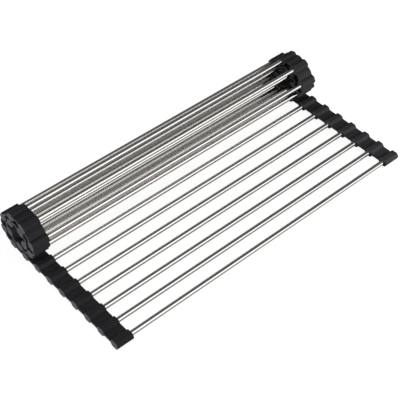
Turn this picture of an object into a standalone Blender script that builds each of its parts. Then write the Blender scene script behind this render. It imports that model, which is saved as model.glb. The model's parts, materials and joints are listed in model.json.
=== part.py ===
"""Roll up dish drying rack: stainless tubes held at both ends by two silicone strips.

Metres, +Z up. X runs along the tubes, Y from the front edge to the roll, and the rack stands on Z = 0.
The front of the rack lies flat and its rear is wound into a roll that stands on the flat part.

Each silicone strip is modelled as one link for each tube: a thick sleeve with a blind socket for the
tube's end, and half of the thin web on either side of it. The strip bends in the middle of each web,
so the links meet there in a round knuckle and a hollow, about the axis that the web bends on.
"""

import math

import bmesh
import bpy
from mathutils import Vector

MM = 0.001

# Tubes
TUBE_COUNT = 20
FLAT_COUNT = 8
TUBE_DIAMETER = 6.0 * MM
TUBE_WALL = 0.5 * MM
TUBE_SPACE = 17.0 * MM
CLEAR_LENGTH = 392.0 * MM
TUBE_SIDES = 20

# Silicone strips
STRIP_WIDTH = 22.0 * MM
SLEEVE_WALL = 1.7 * MM
SEAT_GAP = 0.3 * MM
SOCKET_FLOOR = 3.0 * MM
CROWN_LENGTH = 5.2 * MM
SLEEVE_LENGTH = 13.4 * MM
END_REACH = 5.6 * MM
END_RADIUS = 2.2 * MM
WEB_THICKNESS = 2.2 * MM
WEB_GAP = 0.38 * MM
RIM_CHAMFER = 0.6 * MM
FLANK_STEPS = 4
KNUCKLE_STEPS = 4
CORNER_STEPS = 3

# How far each web of the roll is bent, from the flat part to the roll's inner end
ROLL_BENDS_DEG = (12, 57, 55, 37, 48, 37, 82, 37, 57, 85, 64, 85)

# How far a cutter runs past the face that it opens
OVERRUN = 2.0 * MM

# Sizes that follow from those above
TUBE_PITCH = TUBE_DIAMETER + TUBE_SPACE
SOCKET_RADIUS = TUBE_DIAMETER / 2 + SEAT_GAP
SOCKET_DEPTH = STRIP_WIDTH - SOCKET_FLOOR
SLEEVE_HEIGHT = 2 * (SOCKET_RADIUS + SLEEVE_WALL)
TUBE_LENGTH = CLEAR_LENGTH + 2 * (SOCKET_DEPTH - SEAT_GAP)
ROOT_BAY = FLAT_COUNT


def new_collection(name):
    """A new collection in the scene."""
    collection = bpy.data.collections.new(name)
    bpy.context.scene.collection.children.link(collection)
    return collection


def new_material(name, colour, metallic, roughness):
    """A Principled material of one colour, given as linear RGB."""
    material = bpy.data.materials.new(name)
    material.use_nodes = True
    shader = material.node_tree.nodes["Principled BSDF"]
    shader.inputs["Base Color"].default_value = (*colour, 1.0)
    shader.inputs["Metallic"].default_value = metallic
    shader.inputs["Roughness"].default_value = roughness
    material.diffuse_color = (*colour, 1.0)
    return material


def arc(centre, radius, start_deg, end_deg, steps):
    """Points along an arc about centre, from one angle to the other."""
    angles = [math.radians(start_deg + (end_deg - start_deg) * i / steps) for i in range(steps + 1)]
    return [Vector(centre) + radius * Vector((math.cos(a), math.sin(a))) for a in angles]


def flank(draw):
    """The strip's top line from the thin web up to the sleeve's flat crown, as (distance, height)."""
    foot, crown = SLEEVE_LENGTH / 2, CROWN_LENGTH / 2
    low, high = WEB_THICKNESS / 2 - draw, SLEEVE_HEIGHT / 2 - draw
    points = []
    for i in range(FLANK_STEPS + 1):
        along = i / FLANK_STEPS
        rise = (1 - math.cos(math.pi * along)) / 2
        points.append(Vector((foot + (crown - foot) * along, low + (high - low) * rise)))
    return points


def mirrored(points, across, along):
    """The points with the signs of their two coordinates changed as given, in reverse order."""
    return [Vector((p.x * across, p.y * along)) for p in reversed(points)]


def end_face(draw):
    """The rounded end of a strip, just past its last tube, from the top round to the bottom."""
    inset, level = END_REACH - END_RADIUS, SLEEVE_HEIGHT / 2 - END_RADIUS
    top = arc((-inset, level), END_RADIUS - draw, 90, 180, CORNER_STEPS)
    return top + mirrored(top, 1, -1)


def link_outline(draw=0.0, front_end=False, rear_end=False):
    """One link seen along the tube, anticlockwise, as (distance to the rear, height) from the tube's axis.

    Its faces lie inside the strip's by draw, but for the hollow, which keeps its clearance.
    """
    rising = flank(draw)
    edge = WEB_THICKNESS / 2 - draw
    if rear_end:
        rear = [Vector((-p.x, -p.y)) for p in end_face(draw)]
    else:
        knuckle = arc((TUBE_PITCH / 2, 0), edge, -90, 90, KNUCKLE_STEPS)
        rear = mirrored(rising, 1, -1) + knuckle + rising
    if front_end:
        front = end_face(draw)
    else:
        hollow_radius = WEB_THICKNESS / 2 + WEB_GAP
        mouth = math.degrees(math.asin(edge / hollow_radius))
        hollow = arc((-TUBE_PITCH / 2, 0), hollow_radius, mouth, -mouth, KNUCKLE_STEPS)
        front = mirrored(rising, -1, 1) + hollow + [Vector((-p.x, -p.y)) for p in rising]
    return rear + front


def outline_mesh(name, side, outline):
    """A solid of this outline, standing across X, with a flat face at its inner end and one at its rim."""
    curve = bpy.data.curves.new(name, "CURVE")
    curve.dimensions = "2D"
    curve.fill_mode = "BOTH"
    curve.extrude = (STRIP_WIDTH - RIM_CHAMFER) / 2
    spline = curve.splines.new("POLY")
    spline.points.add(len(outline) - 1)
    for point, corner in zip(spline.points, outline):
        point.co = (corner.x, corner.y, 0.0, 1.0)
    spline.use_cyclic_u = True
    flat = bpy.data.objects.new(name, curve)
    bpy.context.scene.collection.objects.link(flat)
    flat.location = (-side * RIM_CHAMFER / 2, 0.0, 0.0)
    flat.rotation_euler = (math.pi / 2, 0.0, math.pi / 2)
    bpy.context.view_layer.update()
    mesh = bpy.data.meshes.new_from_object(flat.evaluated_get(bpy.context.evaluated_depsgraph_get()))
    mesh.transform(flat.matrix_world)
    bpy.data.objects.remove(flat)
    return mesh


def chamfer_rim(mesh, side, outline, drawn):
    """Adds the chamfer of a link's outer end, on the side -1 or 1 along X, up to the drawn-in outline."""
    solid = bmesh.new()
    solid.from_mesh(mesh)
    bmesh.ops.remove_doubles(solid, verts=solid.verts, dist=TUBE_WALL / 100)
    # Each flat end becomes one face, the outer one last
    for end in (-side * STRIP_WIDTH / 2, side * (STRIP_WIDTH / 2 - RIM_CHAMFER)):
        pieces = [f for f in solid.faces if all(abs(vert.co.x - end) < RIM_CHAMFER / 2 for vert in f.verts)]
        cap = bmesh.ops.dissolve_faces(solid, faces=pieces)["region"]
    raised = bmesh.ops.extrude_face_region(solid, geom=cap)["geom"]
    bmesh.ops.delete(solid, geom=cap, context="FACES_ONLY")
    for vert in [item for item in raised if isinstance(item, bmesh.types.BMVert)]:
        nearest = min(range(len(outline)), key=lambda i: (outline[i] - vert.co.yz).length)
        vert.co = (side * STRIP_WIDTH / 2, *drawn[nearest])
    bmesh.ops.recalc_face_normals(solid, faces=solid.faces)
    solid.to_mesh(mesh)
    solid.free()


def socket_cutter(side, collection):
    """A cylinder that opens the tube's blind socket from the inner end of a link."""
    length = SOCKET_DEPTH + OVERRUN
    middle = side * (SOCKET_DEPTH - OVERRUN - STRIP_WIDTH) / 2
    bpy.ops.mesh.primitive_cylinder_add(
        vertices=TUBE_SIDES, radius=SOCKET_RADIUS, depth=length,
        location=(middle, 0.0, 0.0), rotation=(0.0, math.pi / 2, 0.0),
    )
    cutter = bpy.context.active_object
    cutter.name = "cut_socket_left" if side < 0 else "cut_socket_right"
    for owner in list(cutter.users_collection):
        owner.objects.unlink(cutter)
    collection.objects.link(cutter)
    cutter.hide_render = True
    cutter.display_type = "WIRE"
    return cutter


def link_mesh(name, side, cutter, material, **ends):
    """The mesh of a link: outline, chamfered outer rim and blind socket, centred on its own width."""
    outline, drawn = link_outline(**ends), link_outline(draw=RIM_CHAMFER, **ends)
    mesh = outline_mesh(name, side, outline)
    chamfer_rim(mesh, side, outline, drawn)
    blank = bpy.data.objects.new(name, mesh)
    bpy.context.scene.collection.objects.link(blank)
    cut = blank.modifiers.new("socket", "BOOLEAN")
    cut.operation = "DIFFERENCE"
    cut.solver = "EXACT"
    cut.object = cutter
    bpy.context.view_layer.update()
    graph = bpy.context.evaluated_depsgraph_get()
    finished = bpy.data.meshes.new_from_object(blank.evaluated_get(graph))
    bpy.data.objects.remove(blank)
    finished.name = name
    finished.materials.clear()
    finished.materials.append(material)
    finished.shade_smooth()
    finished.set_sharp_from_angle(angle=math.radians(40))
    return finished


def tube_mesh(material):
    """A thin-walled tube about X, open at both ends, turned from the section of its wall."""
    half, outer, inner = TUBE_LENGTH / 2, TUBE_DIAMETER / 2, TUBE_DIAMETER / 2 - TUBE_WALL
    section = bmesh.new()
    corners = [(outer, half), (outer, -half), (inner, -half), (inner, half)]
    ring = [section.verts.new((radius, 0.0, height)) for radius, height in corners]
    for i, corner in enumerate(ring):
        section.edges.new((corner, ring[(i + 1) % len(ring)]))
    mesh = bpy.data.meshes.new("tube_section")
    section.to_mesh(mesh)
    section.free()
    turned = bpy.data.objects.new("tube_section", mesh)
    bpy.context.scene.collection.objects.link(turned)
    screw = turned.modifiers.new("turn", "SCREW")
    screw.steps = TUBE_SIDES
    screw.render_steps = TUBE_SIDES
    screw.use_merge_vertices = True
    screw.merge_threshold = TUBE_WALL / 100
    turned.rotation_euler = (0.0, math.pi / 2, 0.0)
    bpy.context.view_layer.update()
    graph = bpy.context.evaluated_depsgraph_get()
    finished = bpy.data.meshes.new_from_object(turned.evaluated_get(graph))
    finished.transform(turned.matrix_world)
    bpy.data.objects.remove(turned)
    finished.name = "tube"
    finished.materials.clear()
    finished.materials.append(material)
    finished.shade_smooth()
    finished.set_sharp_from_angle(angle=math.radians(40))
    return finished


def bay_bend(bay):
    """How far the web before this bay is bent, in radians: nothing in the flat part."""
    turn = bay - FLAT_COUNT - 1
    return math.radians(ROLL_BENDS_DEG[turn]) if 0 <= turn < len(ROLL_BENDS_DEG) else 0.0


def flat_frame():
    """Where the first tube lies, from the bounding box of all the links' outlines, as (Y, Z)."""
    axis, heading, reach = Vector((0.0, 0.0)), 0.0, []
    for bay in range(1, TUBE_COUNT + 1):
        bend = bay_bend(bay)
        half = TUBE_PITCH / 2
        if bay > 1:
            axis = axis + half * Vector((math.cos(heading), math.sin(heading)))
            heading += bend
            axis = axis + half * Vector((math.cos(heading), math.sin(heading)))
        cos, sin = math.cos(heading), math.sin(heading)
        for p in link_outline(front_end=bay == 1, rear_end=bay == TUBE_COUNT):
            reach.append(axis.x + p.x * cos - p.y * sin)
    return -(min(reach) + max(reach)) / 2, SLEEVE_HEIGHT / 2


def bay_empty(bay, parent, collection):
    """The frame of one bay: on its web's bending axis, or for the root bay on its tube's axis."""
    empty = bpy.data.objects.new(f"bay_{bay:02d}", None)
    collection.objects.link(empty)
    if parent is None:
        first_y, first_z = flat_frame()
        empty.location = (0.0, first_y + (ROOT_BAY - 1) * TUBE_PITCH, first_z)
        return empty
    outward = 1 if bay > ROOT_BAY else -1
    stride = TUBE_PITCH / 2 if abs(bay - ROOT_BAY) == 1 else TUBE_PITCH
    empty.parent = parent
    empty.location = (0.0, outward * stride, 0.0)
    empty.rotation_euler = (bay_bend(bay), 0.0, 0.0)
    return empty


def place(name, mesh, along, empty, bay, collection):
    """One piece of a bay, along X from the rack's middle and on its tube's axis."""
    piece = bpy.data.objects.new(name, mesh)
    collection.objects.link(piece)
    outward = (bay > ROOT_BAY) - (bay < ROOT_BAY)
    piece.parent = empty
    piece.location = (along, outward * TUBE_PITCH / 2, 0.0)


def build():
    """Clears the scene and models the rack."""
    for old in list(bpy.data.objects):
        bpy.data.objects.remove(old)
    rack = new_collection("roll_up_drying_rack")
    cutters = new_collection("cutters")
    steel = new_material("polished_stainless", (0.56, 0.55, 0.53), 1.0, 0.18)
    silicone = new_material("black_silicone", (0.018, 0.018, 0.019), 0.0, 0.55)

    tube = tube_mesh(steel)
    links = {}
    for side, label in ((-1, "left"), (1, "right")):
        cutter = socket_cutter(side, cutters)
        links[label, "middle"] = link_mesh(f"{label}_link", side, cutter, silicone)
        links[label, "front"] = link_mesh(f"{label}_front", side, cutter, silicone, front_end=True)
        links[label, "rear"] = link_mesh(f"{label}_rear", side, cutter, silicone, rear_end=True)

    empties = {ROOT_BAY: bay_empty(ROOT_BAY, None, rack)}
    for bay in range(ROOT_BAY + 1, TUBE_COUNT + 1):
        empties[bay] = bay_empty(bay, empties[bay - 1], rack)
    for bay in range(ROOT_BAY - 1, 0, -1):
        empties[bay] = bay_empty(bay, empties[bay + 1], rack)

    strip_middle = (CLEAR_LENGTH + STRIP_WIDTH) / 2
    for bay in range(1, TUBE_COUNT + 1):
        kind = {1: "front", TUBE_COUNT: "rear"}.get(bay, "middle")
        place(f"tube_{bay:02d}", tube, 0.0, empties[bay], bay, rack)
        for side, label in ((-1, "left"), (1, "right")):
            mesh = links[label, kind]
            place(f"{label}_link_{bay:02d}", mesh, side * strip_middle, empties[bay], bay, rack)
    bpy.context.view_layer.update()


build()
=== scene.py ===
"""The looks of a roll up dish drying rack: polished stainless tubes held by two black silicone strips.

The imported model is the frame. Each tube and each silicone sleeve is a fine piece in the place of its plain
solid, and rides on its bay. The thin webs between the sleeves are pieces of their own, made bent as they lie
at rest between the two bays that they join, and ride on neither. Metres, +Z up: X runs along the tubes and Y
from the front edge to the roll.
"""

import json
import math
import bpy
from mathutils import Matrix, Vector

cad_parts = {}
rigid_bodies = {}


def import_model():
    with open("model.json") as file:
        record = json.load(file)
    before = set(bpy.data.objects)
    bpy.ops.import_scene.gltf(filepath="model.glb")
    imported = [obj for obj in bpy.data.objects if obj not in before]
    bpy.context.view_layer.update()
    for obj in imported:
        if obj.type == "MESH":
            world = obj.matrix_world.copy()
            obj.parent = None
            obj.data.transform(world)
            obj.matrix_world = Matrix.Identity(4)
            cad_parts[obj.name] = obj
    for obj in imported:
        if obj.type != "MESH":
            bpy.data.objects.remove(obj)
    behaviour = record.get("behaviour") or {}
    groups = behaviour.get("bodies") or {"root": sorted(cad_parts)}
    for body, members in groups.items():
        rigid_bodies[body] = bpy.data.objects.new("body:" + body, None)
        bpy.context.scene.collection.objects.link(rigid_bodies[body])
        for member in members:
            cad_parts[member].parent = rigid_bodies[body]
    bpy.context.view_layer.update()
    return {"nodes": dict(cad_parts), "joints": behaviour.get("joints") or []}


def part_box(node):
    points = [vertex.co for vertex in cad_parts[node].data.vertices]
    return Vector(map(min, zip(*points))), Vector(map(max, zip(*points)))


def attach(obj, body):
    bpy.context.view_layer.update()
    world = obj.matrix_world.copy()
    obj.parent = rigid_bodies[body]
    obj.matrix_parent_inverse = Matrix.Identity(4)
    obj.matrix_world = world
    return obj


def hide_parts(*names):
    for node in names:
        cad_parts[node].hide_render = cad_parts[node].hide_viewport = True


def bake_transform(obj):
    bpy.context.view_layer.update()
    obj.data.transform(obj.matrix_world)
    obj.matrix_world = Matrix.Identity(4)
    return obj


bl_info = {
    "name": "Roll Up Drying Rack",
    "version": (1, 0, 0),
    "blender": (4, 5, 0),
    "location": "View3D > Sidebar > Rack",
    "description": "Builds the looks of a roll up drying rack around its packed model",
    "category": "Add Mesh",
}

import bmesh
import bpy
from bpy.props import FloatProperty, FloatVectorProperty, IntProperty, PointerProperty
from mathutils import Matrix, Vector

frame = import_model()

MM = 0.001
SIDES = {"left": -1, "right": 1}

# An edge that turns by more than this is shaded sharp
SHARP_ANGLE = math.radians(35)
# An edge of a strip that turns by more than this is a rim, which is rounded
RIM_ANGLE = math.radians(25)
# A web that is bent by less than this is made flat
FLAT_ANGLE = math.radians(0.1)
# Most values of a noise texture lie between these
NOISE_LOW, NOISE_HIGH = 0.3, 0.7


def linear(hex_code):
    """An sRGB hex colour, such as #DAD9D6, as linear red, green and blue."""
    shares = [int(hex_code[i:i + 2], 16) / 255 for i in (1, 3, 5)]
    return tuple(s / 12.92 if s <= 0.04045 else ((s + 0.055) / 1.055) ** 2.4 for s in shares)


def node_size(name):
    """How far a node of the frame reaches along X, Y and Z."""
    low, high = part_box(name)
    return high - low


def node_middle(name):
    """The middle of a node of the frame."""
    low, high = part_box(name)
    return (low + high) / 2


def bay_number(body):
    """The number of a bay, from its body's name."""
    return int(body.split("_")[-1])


BAY_COUNT = sum(name.startswith("tube_") for name in frame["nodes"])
BAYS = range(1, BAY_COUNT + 1)

# The joint in the web behind each bay but the last
WEB_JOINTS = {
    min(bay_number(joint["parent"]), bay_number(joint["child"])): joint for joint in frame["joints"]
}


class RackTubeSettings(bpy.types.PropertyGroup):
    """Sizes and finish of the tubes."""

    diameter: FloatProperty(
        name="Diameter", description="Outer diameter of a tube",
        default=node_size("tube_01").z, unit="LENGTH",
    )
    wall: FloatProperty(
        name="Wall", description="Thickness of a tube's wall",
        default=0.5 * MM, unit="LENGTH",
    )
    length: FloatProperty(
        name="Length", description="Length of a tube, with its ends inside the sleeves",
        default=node_size("tube_01").x, unit="LENGTH",
    )
    edge_break: FloatProperty(
        name="Edge break", description="Rounding of a cut end",
        default=0.12 * MM, unit="LENGTH",
    )
    sides: IntProperty(name="Sides", description="Faces round a tube", default=64, min=12)
    steel: FloatVectorProperty(
        name="Steel", description="Colour of the polished stainless steel",
        default=linear("#DEDBD8"), subtype="COLOR",
    )


class RackStripSettings(bpy.types.PropertyGroup):
    """Sizes and finish of the silicone strips."""

    width: FloatProperty(
        name="Width", description="Width of a strip, along the tubes",
        default=node_size("left_link_01").x, unit="LENGTH",
    )
    height: FloatProperty(
        name="Height", description="Full height of a sleeve at its tube, from its underside to its crown",
        default=node_size("left_link_01").z, unit="LENGTH",
    )
    sleeve_length: FloatProperty(
        name="Sleeve length", description="Length of a sleeve from one web to the next",
        default=12.2 * MM, unit="LENGTH",
    )
    crown_length: FloatProperty(
        name="Crown length", description="Length of the level top of a sleeve",
        default=5.2 * MM, unit="LENGTH",
    )
    web_thickness: FloatProperty(
        name="Web thickness", description="Thickness of the web between two sleeves",
        default=2.2 * MM, unit="LENGTH",
    )
    end_reach: FloatProperty(
        name="End reach", description="How far a strip runs on past its first and last tube's axis",
        default=6.4 * MM, unit="LENGTH",
    )
    rim_radius: FloatProperty(
        name="Rim radius", description="Rounding of a strip's long edges and of its cut ends",
        default=0.55 * MM, unit="LENGTH",
    )
    socket_floor: FloatProperty(
        name="Socket floor", description="Silicone left outside the end of a tube",
        default=3.0 * MM, unit="LENGTH",
    )
    grip: FloatProperty(
        name="Grip", description="Gap between a tube and the silicone that grips it",
        default=0.02 * MM, unit="LENGTH",
    )
    mouth_radius: FloatProperty(
        name="Mouth radius", description="Rounding of the mouth of a socket",
        default=0.4 * MM, unit="LENGTH",
    )
    arc_share: FloatProperty(
        name="Arc share", description="How far a bent web follows a plain arc and not the fold at its axis",
        default=0.5, min=0.0, max=1.0, subtype="FACTOR",
    )
    steps: IntProperty(name="Steps", description="Faces along a sleeve or a web", default=32, min=4)
    silicone: FloatVectorProperty(
        name="Silicone", description="Colour of the moulded silicone",
        default=linear("#202022"), subtype="COLOR",
    )


class RackStageSettings(bpy.types.PropertyGroup):
    """The camera, the floor and the light."""

    azimuth: FloatProperty(
        name="Azimuth", description="Where the camera stands round the rack, from the front to the right",
        default=math.radians(-41.28), subtype="ANGLE",
    )
    elevation: FloatProperty(
        name="Elevation", description="How far the camera looks down",
        default=math.radians(45.78), subtype="ANGLE",
    )
    distance: FloatProperty(
        name="Distance", description="From the camera to the point that it looks at",
        default=1216.7 * MM, unit="LENGTH",
    )
    target: FloatVectorProperty(
        name="Target",
        description="Point that the camera looks at, from the floor under the front tube's middle",
        default=(-13.0 * MM, 98.5 * MM, 5.0 * MM), subtype="TRANSLATION", unit="LENGTH",
    )
    lens: FloatProperty(name="Lens", description="Focal length in millimetres", default=93.2)
    floor: FloatVectorProperty(
        name="Floor", description="Colour of the floor",
        default=linear("#868583"), subtype="COLOR",
    )
    floor_reach: FloatProperty(
        name="Floor reach", description="From the middle of the floor to its sides",
        default=4.0, unit="LENGTH",
    )
    daylight: FloatProperty(name="Daylight", description="Even light from all round", default=0.6, min=0.0)


def add(tree, kind, inputs=None, **settings):
    """Adds a node. Its inputs map a socket's name or number to a value, or to the output that feeds it."""
    node = tree.nodes.new(kind)
    for name, value in settings.items():
        setattr(node, name, value)
    for socket, value in (inputs or {}).items():
        if isinstance(value, bpy.types.NodeSocket):
            tree.links.new(value, node.inputs[socket])
        else:
            node.inputs[socket].default_value = value
    return node


def new_material(name):
    """A material with only its output, as (material, node tree, output node)."""
    material = bpy.data.materials.new(name)
    material.use_nodes = True
    tree = material.node_tree
    tree.nodes.clear()
    return material, tree, tree.nodes.new("ShaderNodeOutputMaterial")


def polished_stainless(colour):
    """Drawn stainless steel tube, belt polished: a bright mirror, drawn out along the tube by fine lines."""
    material, tree, output = new_material("polished_stainless")
    # The real polishing lines are finer, and these are as coarse as they have to be to show
    line_width_mm, line_length_mm, line_depth_mm = 0.35, 40.0, 0.01
    haze_mm, haze_share = 25.0, 0.45
    smoothest, roughest = 0.07, 0.12
    place = add(tree, "ShaderNodeTexCoord").outputs["Object"]
    stretch = add(
        tree, "ShaderNodeMapping", {"Vector": place, "Scale": (line_width_mm / line_length_mm, 1.0, 1.0)}
    )
    lines = add(
        tree, "ShaderNodeTexNoise",
        {"Vector": stretch.outputs["Vector"], "Scale": 1 / (line_width_mm * MM),
         "Detail": 2.0, "Roughness": 0.5},
    )
    haze = add(tree, "ShaderNodeTexNoise", {"Vector": place, "Scale": 1 / (haze_mm * MM), "Detail": 3.0})
    wear = add(
        tree, "ShaderNodeMix",
        {"Factor": haze_share, "A": lines.outputs["Fac"], "B": haze.outputs["Fac"]}, data_type="FLOAT",
    )
    rough = add(
        tree, "ShaderNodeMapRange",
        {"Value": wear.outputs["Result"], "From Min": NOISE_LOW, "From Max": NOISE_HIGH,
         "To Min": smoothest, "To Max": roughest},
    )
    bump = add(
        tree, "ShaderNodeBump",
        {"Height": lines.outputs["Fac"], "Strength": 0.12, "Distance": line_depth_mm * MM},
    )
    steel = add(
        tree, "ShaderNodeBsdfPrincipled",
        {"Base Color": (*colour, 1.0), "Metallic": 1.0, "Roughness": rough.outputs["Result"],
         "Normal": bump.outputs["Normal"]},
    )
    tree.links.new(steel.outputs["BSDF"], output.inputs["Surface"])
    return material


def moulded_silicone(colour):
    """Black silicone rubber from a matt mould: soft and dark, with a fine grain and a faint cloudy sheen."""
    material, tree, output = new_material("moulded_silicone")
    # The real grain is finer, and this one is as coarse as it has to be to show
    grain_mm, grain_depth_mm, cloud_mm = 0.3, 0.04, 9.0
    smoothest, roughest, dust_lift = 0.50, 0.65, 1.5
    place = add(tree, "ShaderNodeTexCoord").outputs["Object"]
    grain = add(tree, "ShaderNodeTexNoise", {"Vector": place, "Scale": 1 / (grain_mm * MM), "Detail": 3.0})
    cloud = add(tree, "ShaderNodeTexNoise", {"Vector": place, "Scale": 1 / (cloud_mm * MM), "Detail": 4.0})
    rough = add(
        tree, "ShaderNodeMapRange",
        {"Value": cloud.outputs["Fac"], "From Min": NOISE_LOW, "From Max": NOISE_HIGH,
         "To Min": smoothest, "To Max": roughest},
    )
    dusty = tuple(min(1.0, channel * dust_lift) for channel in colour)
    tint = add(
        tree, "ShaderNodeMix",
        {"Factor": cloud.outputs["Fac"], "A": (*colour, 1.0), "B": (*dusty, 1.0)}, data_type="RGBA",
    )
    bump = add(
        tree, "ShaderNodeBump",
        {"Height": grain.outputs["Fac"], "Strength": 0.35, "Distance": grain_depth_mm * MM},
    )
    rubber = add(
        tree, "ShaderNodeBsdfPrincipled",
        {"Base Color": tint.outputs["Result"], "Roughness": rough.outputs["Result"], "IOR": 1.41,
         "Specular IOR Level": 0.10, "Normal": bump.outputs["Normal"]},
    )
    tree.links.new(rubber.outputs["BSDF"], output.inputs["Surface"])
    return material


def add_object(name, data):
    """An object at the origin for a mesh, a lamp or a camera."""
    made = bpy.data.objects.new(name, data)
    bpy.context.scene.collection.objects.link(made)
    return made


def shaded(mesh, material):
    """The same mesh with its one material, and smooth but for its sharp edges."""
    mesh.materials.clear()
    mesh.materials.append(material)
    mesh.shade_smooth()
    mesh.set_sharp_from_angle(angle=SHARP_ANGLE)
    return mesh


def finish_mesh(shape, name, material):
    """The shaded mesh of a bmesh, which is freed, with its faces outwards."""
    bmesh.ops.recalc_face_normals(shape, faces=shape.faces)
    mesh = bpy.data.meshes.new(name)
    shape.to_mesh(mesh)
    shape.free()
    return shaded(mesh, material)


def add_piece(name, mesh):
    """An object at the origin for a finished mesh."""
    piece = add_object(name, mesh)
    # Large faces keep their own direction up to a rounded edge, so they reflect as flat and straight ones
    piece.modifiers.new("even_shading", "WEIGHTED_NORMAL").keep_sharp = True
    return piece


def heading(bay):
    """How far a bay is turned about X, in radians, from its tube and the axis of a web beside it."""
    tube = node_middle(f"tube_{bay:02d}")
    if bay in WEB_JOINTS:
        run = Vector(WEB_JOINTS[bay]["pos_m"]) - tube
    else:
        run = tube - Vector(WEB_JOINTS[bay - 1]["pos_m"])
    return math.atan2(run.z, run.y)


def turned(angle, place):
    """The matrix that turns a piece about X and moves it to a place."""
    return Matrix.Translation(place) @ Matrix.Rotation(angle, 4, "X")


def along_bay(angle, length):
    """A move of a length along a bay that is turned by an angle."""
    return Matrix.Rotation(angle, 4, "X") @ Vector((0.0, length, 0.0))


def spun(outline, sides, closed=False):
    """A shape spun about X from the (x, radius) points of an open or closed outline, as a bmesh."""
    shape = bmesh.new()
    points = [shape.verts.new((x, 0.0, radius)) for x, radius in outline]
    following = points[1:] + points[:1] if closed else points[1:]
    path = [shape.edges.new(pair) for pair in zip(points, following)]
    bmesh.ops.spin(
        shape, geom=points + path, cent=(0.0, 0.0, 0.0), axis=(1.0, 0.0, 0.0),
        angle=math.tau, steps=sides, use_merge=True,
    )
    return shape


def tube_blank(sizes):
    """A thin-walled tube about X, spun from the section of its wall, with its cut ends broken."""
    half, outer, inner = sizes.length / 2, sizes.diameter / 2, sizes.diameter / 2 - sizes.wall
    section = ((half, inner), (half, outer), (-half, outer), (-half, inner))
    shape = spun(section, sizes.sides, closed=True)
    rings = []
    for edge in shape.edges:
        start, end = (vert.co for vert in edge.verts)
        at_end = abs(start.x - end.x) < half
        round_axis = abs(start.yz.length - end.yz.length) < sizes.wall / 2
        if at_end and round_axis:
            rings.append(edge)
    bmesh.ops.bevel(
        shape, geom=rings, offset=sizes.edge_break, segments=2, profile=0.5, affect="EDGES", material=-1
    )
    return shape


class RACK_OT_tubes(bpy.types.Operator):
    """Make the stainless tubes"""

    bl_idname = "rack.tubes"
    bl_label = "Tubes"

    def execute(self, context):
        sizes = context.scene.rack_tubes
        blank = finish_mesh(tube_blank(sizes), "tube", polished_stainless(sizes.steel))
        for bay in BAYS:
            node = f"tube_{bay:02d}"
            mesh = blank.copy()
            mesh.transform(turned(heading(bay), node_middle(node)))
            tube = add_piece(f"stainless_tube_{bay:02d}", mesh)
            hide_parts(node)
            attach(tube, f"bay_{bay:02d}")
        return {"FINISHED"}


def half_height(run, sizes):
    """Half a sleeve's thickness at a distance from its nearer foot: a full flank, then the level crown."""
    low, high = sizes.web_thickness / 2, sizes.height / 2
    flank_length = (sizes.sleeve_length - sizes.crown_length) / 2
    climb = min(max(run / flank_length, 0.0), 1.0)
    return low + (high - low) * math.sin(climb * math.pi / 2)


def bar(sizes, front, rear, height):
    """A bar of a strip's width about X, from front to rear along Y, divided into its steps, as a bmesh."""
    shape = bmesh.new()
    bmesh.ops.create_cube(shape, size=1.0)
    bmesh.ops.scale(shape, vec=(sizes.width, rear - front, height), verts=shape.verts)
    bmesh.ops.translate(shape, vec=(0.0, (front + rear) / 2, 0.0), verts=shape.verts)
    half = (rear - front) / 2
    runs = [edge for edge in shape.edges if abs(edge.verts[0].co.y - edge.verts[1].co.y) > half]
    bmesh.ops.subdivide_edges(shape, edges=runs, cuts=sizes.steps - 1, use_grid_fill=True)
    return shape


def round_rims(shape, sizes, feet):
    """Rounds the long edges of a strip's piece and its cut end, but no foot, where it meets the next one."""
    shape.normal_update()
    reach = sizes.rim_radius / 2
    rims = []
    for edge in shape.edges:
        at_foot = any(all(abs(vert.co.y - foot) < reach for vert in edge.verts) for foot in feet)
        if edge.calc_face_angle() > RIM_ANGLE and not at_foot:
            rims.append(edge)
    bmesh.ops.bevel(
        shape, geom=rims, offset=sizes.rim_radius, segments=4, profile=0.5, affect="EDGES", material=-1
    )


def sleeve_blank(sizes, front_end=False, rear_end=False):
    """A silicone sleeve lying flat about its tube's axis, from foot to foot or to the strip's cut end."""
    foot = sizes.sleeve_length / 2
    front = -sizes.end_reach if front_end else -foot
    rear = sizes.end_reach if rear_end else foot
    shape = bar(sizes, front, rear, sizes.height)
    for vert in shape.verts:
        run = min(vert.co.y - front, rear - vert.co.y)
        vert.co.z = math.copysign(half_height(run, sizes), vert.co.z)
    round_rims(shape, sizes, [end for end, cut in ((front, front_end), (rear, rear_end)) if not cut])
    return shape


def socket_cutter(sizes, bore, side):
    """The blind socket and its rounded mouth, spun about X from half its section."""
    sides, mouth_steps = 48, 4
    inner_face, floor = -side * sizes.width / 2, side * (sizes.width / 2 - sizes.socket_floor)
    radius, mouth = bore / 2 + sizes.grip, sizes.mouth_radius
    outline = [(floor, 0.0), (floor, radius)]
    for i in range(mouth_steps + 1):
        angle = math.pi / 2 * i / mouth_steps
        rise = mouth * (1 - math.cos(angle))
        outline.append((inner_face + side * mouth * (1 - math.sin(angle)), radius + rise))
    outline.append((inner_face - side * mouth, radius + mouth))
    outline.append((inner_face - side * mouth, 0.0))
    shape = spun(outline, sides)
    bmesh.ops.remove_doubles(shape, verts=shape.verts, dist=sizes.grip / 10)
    return shape


def with_socket(sizes, bore, side, name, material, **ends):
    """The finished mesh of one kind of sleeve, with its socket cut."""
    blank = add_object(name, finish_mesh(sleeve_blank(sizes, **ends), name, material))
    cutter = add_object("cutter", finish_mesh(socket_cutter(sizes, bore, side), "cutter", material))
    cut = blank.modifiers.new("socket", "BOOLEAN")
    cut.operation = "DIFFERENCE"
    cut.object = cutter
    bpy.context.view_layer.update()
    mesh = bpy.data.meshes.new_from_object(blank.evaluated_get(bpy.context.evaluated_depsgraph_get()))
    for part in (blank, cutter):
        bpy.data.objects.remove(part)
    return shaded(mesh, material)


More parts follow.
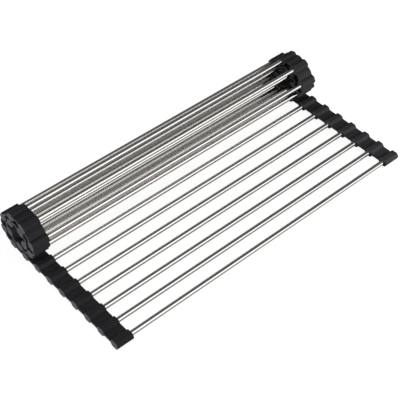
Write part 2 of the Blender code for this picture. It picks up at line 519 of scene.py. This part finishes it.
def silicone_material(context):
    """The strips' one material, made when it is first asked for."""
    found = bpy.data.materials.get("moulded_silicone")
    return found or moulded_silicone(context.scene.rack_strips.silicone)


class RACK_OT_sleeves(bpy.types.Operator):
    """Make the silicone sleeves that hold the tubes' ends"""

    bl_idname = "rack.sleeves"
    bl_label = "Sleeves"

    def execute(self, context):
        sizes = context.scene.rack_strips
        bore = context.scene.rack_tubes.diameter
        material = silicone_material(context)
        for label, side in SIDES.items():
            middle = with_socket(sizes, bore, side, f"{label}_sleeve", material)
            front = with_socket(sizes, bore, side, f"{label}_front", material, front_end=True)
            rear = with_socket(sizes, bore, side, f"{label}_rear", material, rear_end=True)
            for bay in BAYS:
                mesh = {1: front, BAY_COUNT: rear}.get(bay, middle).copy()
                place = node_middle(f"tube_{bay:02d}")
                place.x = node_middle(f"{label}_link_{bay:02d}").x
                mesh.transform(turned(heading(bay), place))
                sleeve = add_piece(f"{label}_sleeve_{bay:02d}", mesh)
                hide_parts(f"{label}_link_{bay:02d}")
                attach(sleeve, f"bay_{bay:02d}")
        return {"FINISHED"}


def bent_point(point, half, bend, arc_share):
    """Where a point of a flat web goes when it is bent, between a fold at its axis and a plain arc."""
    if abs(bend) < FLAT_ANGLE:
        return point
    along = (point.y + half) / (2 * half)
    eased = along * along * (3 - 2 * along)
    fold = Matrix.Rotation(eased * bend, 3, "X") @ point
    radius = half / math.tan(bend / 2)
    turn = along * bend
    arc = Vector((
        point.x,
        (radius - point.z) * math.sin(turn) - half,
        radius - (radius - point.z) * math.cos(turn),
    ))
    return fold.lerp(arc, arc_share)


def web_blank(sizes, half, bend):
    """A web from foot to foot about its bending axis, bent as it is in the rack at rest."""
    shape = bar(sizes, -half, half, sizes.web_thickness)
    round_rims(shape, sizes, [-half, half])
    for vert in shape.verts:
        vert.co = bent_point(vert.co, half, bend, sizes.arc_share)
    return shape


class RACK_OT_webs(bpy.types.Operator):
    """Make the thin silicone webs that bend between the sleeves"""

    bl_idname = "rack.webs"
    bl_label = "Webs"

    def execute(self, context):
        sizes = context.scene.rack_strips
        material = silicone_material(context)
        for bay, joint in WEB_JOINTS.items():
            axis = Vector(joint["pos_m"])
            before, after = heading(bay), heading(bay + 1)
            # Headings jump by a whole turn where the roll passes half a turn, and a web bends the short way
            bend = math.remainder(after - before, math.tau)
            half = (axis - node_middle(f"tube_{bay:02d}")).yz.length - sizes.sleeve_length / 2
            feet = {bay: axis - along_bay(before, half), bay + 1: axis + along_bay(after, half)}
            # The feet are moved just inside the web's ends; nothing uses them after this
            chord = (feet[bay + 1] - feet[bay]).normalized()
            inside = chord * math.sin(abs(bend) / 2) * sizes.web_thickness / 2
            feet[bay] += inside
            feet[bay + 1] -= inside
            for label in SIDES:
                name = f"{label}_web_{bay:02d}_{bay + 1:02d}"
                mesh = finish_mesh(web_blank(sizes, half, bend), name, material)
                place = (node_middle(f"{label}_link_{bay:02d}").x, axis.y, axis.z)
                mesh.transform(turned(before, place))
                web = add_piece(name, mesh)
                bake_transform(web)
        return {"FINISHED"}


def ray_kinds(tree):
    """Outputs that are 1 for a ray from a mirror, and for one from the camera or through glass."""
    path = add(tree, "ShaderNodeLightPath")
    seen = add(
        tree, "ShaderNodeMath",
        {0: path.outputs["Is Camera Ray"], 1: path.outputs["Is Transmission Ray"]}, operation="MAXIMUM",
    )
    return path.outputs["Is Glossy Ray"], seen.outputs["Value"]


def white_surroundings(daylight):
    """A studio of even light: white to the camera, and to metal a bright room with one large dark flag."""
    world = bpy.data.worlds.new("studio")
    world.use_nodes = True
    tree = world.node_tree
    tree.nodes.clear()
    # The flag is darkest inside its core and has faded out at its edge, both of which are given as the
    # cosine of the angle from its direction
    flag_direction, flag_edge, flag_core = (0.786, 0.337, 0.518), 0.43, 0.70
    room_level, flag_level = 1.63, 0.115
    direction = add(tree, "ShaderNodeTexCoord").outputs["Generated"]
    facing = add(tree, "ShaderNodeVectorMath", {0: direction, 1: flag_direction}, operation="DOT_PRODUCT")
    flagged = add(
        tree, "ShaderNodeMapRange",
        {"Value": facing.outputs["Value"], "From Min": flag_edge, "From Max": flag_core,
         "To Min": room_level, "To Max": flag_level},
        interpolation_type="SMOOTHSTEP",
    )
    from_mirror, seen = ray_kinds(tree)
    even = add(
        tree, "ShaderNodeMix",
        {"Factor": from_mirror, "A": daylight, "B": flagged.outputs["Result"]}, data_type="FLOAT",
    )
    level = add(
        tree, "ShaderNodeMix", {"Factor": seen, "A": even.outputs["Result"], "B": 1.0}, data_type="FLOAT"
    )
    light = add(
        tree, "ShaderNodeBackground", {"Color": (1.0, 1.0, 1.0, 1.0), "Strength": level.outputs["Result"]}
    )
    add(tree, "ShaderNodeOutputWorld", {"Surface": light.outputs["Background"]})
    bpy.context.scene.world = world


def floor_material(colour):
    """Matt paper sweep: it shows white to the camera, and keeps a trace of the shadow that falls on it."""
    material, tree, output = new_material("white_sweep")
    # How much glow is mixed into the paper as the camera sees it, and as a mirror does
    direct_share, mirrored_share = 0.235, 0.04
    glow_strength = 3.82
    paper = add(tree, "ShaderNodeBsdfDiffuse", {"Color": (*colour, 1.0)})
    glow = add(tree, "ShaderNodeEmission", {"Color": (1.0, 1.0, 1.0, 1.0), "Strength": glow_strength})
    from_mirror, seen = ray_kinds(tree)
    mirrored = add(tree, "ShaderNodeMath", {0: from_mirror, 1: mirrored_share}, operation="MULTIPLY")
    share = add(
        tree, "ShaderNodeMath", {0: seen, 1: direct_share, 2: mirrored.outputs["Value"]},
        operation="MULTIPLY_ADD",
    )
    mixed = add(
        tree, "ShaderNodeMixShader",
        {0: share.outputs["Value"], 1: paper.outputs["BSDF"], 2: glow.outputs["Emission"]},
    )
    tree.links.new(mixed.outputs["Shader"], output.inputs["Surface"])
    return material


def softbox(name, direction, distance, size, brightness):
    """An area lamp of a width and height that faces the rack from a direction. No mirror shows it."""
    width, height = size
    data = bpy.data.lights.new(name, "AREA")
    data.shape = "RECTANGLE"
    data.size, data.size_y = width, height
    data.energy = brightness * math.pi * width * height
    lamp = add_object(name, data)
    lamp.location = Vector(direction).normalized() * distance
    lamp.rotation_euler = (-Vector(direction)).to_track_quat("-Z", "Y").to_euler()
    lamp.visible_glossy = lamp.visible_camera = False


class RACK_OT_stage(bpy.types.Operator):
    """Set up the floor, the light and the camera"""

    bl_idname = "rack.stage"
    bl_label = "Stage"

    def execute(self, context):
        settings = context.scene.rack_stage
        shape = bmesh.new()
        bmesh.ops.create_grid(shape, x_segments=1, y_segments=1, size=settings.floor_reach)
        floor = add_object("floor", finish_mesh(shape, "floor", floor_material(settings.floor)))
        white_surroundings(settings.daylight)
        softbox(
            "side_light", direction=(-1.0, 0.0, 0.02), distance=0.9, size=(0.35, 0.03), brightness=680.0
        )
        softbox(
            "fill_light", direction=(0.40, -0.34, 0.13), distance=0.54, size=(0.3, 0.2), brightness=18.0
        )
        back = Vector((
            math.sin(settings.azimuth) * math.cos(settings.elevation),
            -math.cos(settings.azimuth) * math.cos(settings.elevation),
            math.sin(settings.elevation),
        ))
        looks_at = Vector(settings.target) + Vector((0.0, node_middle("tube_01").y, 0.0))
        camera = add_object("camera", bpy.data.cameras.new("camera"))
        camera.data.lens = settings.lens
        camera.location = looks_at + back * settings.distance
        camera.rotation_euler = (-back).to_track_quat("-Z", "Y").to_euler()
        context.scene.camera = camera
        context.scene.view_settings.view_transform = "Standard"
        return {"FINISHED"}


class RACK_PT_rack(bpy.types.Panel):
    """The rack's pieces and sizes"""

    bl_idname = "RACK_PT_rack"
    bl_label = "Roll Up Drying Rack"
    bl_space_type = "VIEW_3D"
    bl_region_type = "UI"
    bl_category = "Rack"

    def draw(self, context):
        groups = (
            (context.scene.rack_tubes, ("rack.tubes",)),
            (context.scene.rack_strips, ("rack.sleeves", "rack.webs")),
            (context.scene.rack_stage, ("rack.stage",)),
        )
        for settings, operators in groups:
            box = self.layout.box()
            for name in settings.bl_rna.properties.keys():
                if name not in {"name", "rna_type"}:
                    box.prop(settings, name)
            for operator in operators:
                box.operator(operator)


CLASSES = (
    RackTubeSettings, RackStripSettings, RackStageSettings,
    RACK_OT_tubes, RACK_OT_sleeves, RACK_OT_webs, RACK_OT_stage, RACK_PT_rack,
)


def register():
    """Registers the classes and gives the scene its settings."""
    for cls in CLASSES:
        bpy.utils.register_class(cls)
    bpy.types.Scene.rack_tubes = PointerProperty(type=RackTubeSettings)
    bpy.types.Scene.rack_strips = PointerProperty(type=RackStripSettings)
    bpy.types.Scene.rack_stage = PointerProperty(type=RackStageSettings)


def unregister():
    """Takes the settings and the classes away again."""
    del bpy.types.Scene.rack_stage
    del bpy.types.Scene.rack_strips
    del bpy.types.Scene.rack_tubes
    for cls in reversed(CLASSES):
        bpy.utils.unregister_class(cls)


def main():
    """Builds the pieces and the stage."""
    register()
    bpy.ops.rack.tubes()
    bpy.ops.rack.sleeves()
    bpy.ops.rack.webs()
    bpy.ops.rack.stage()


if __name__ == "__main__":
    main()
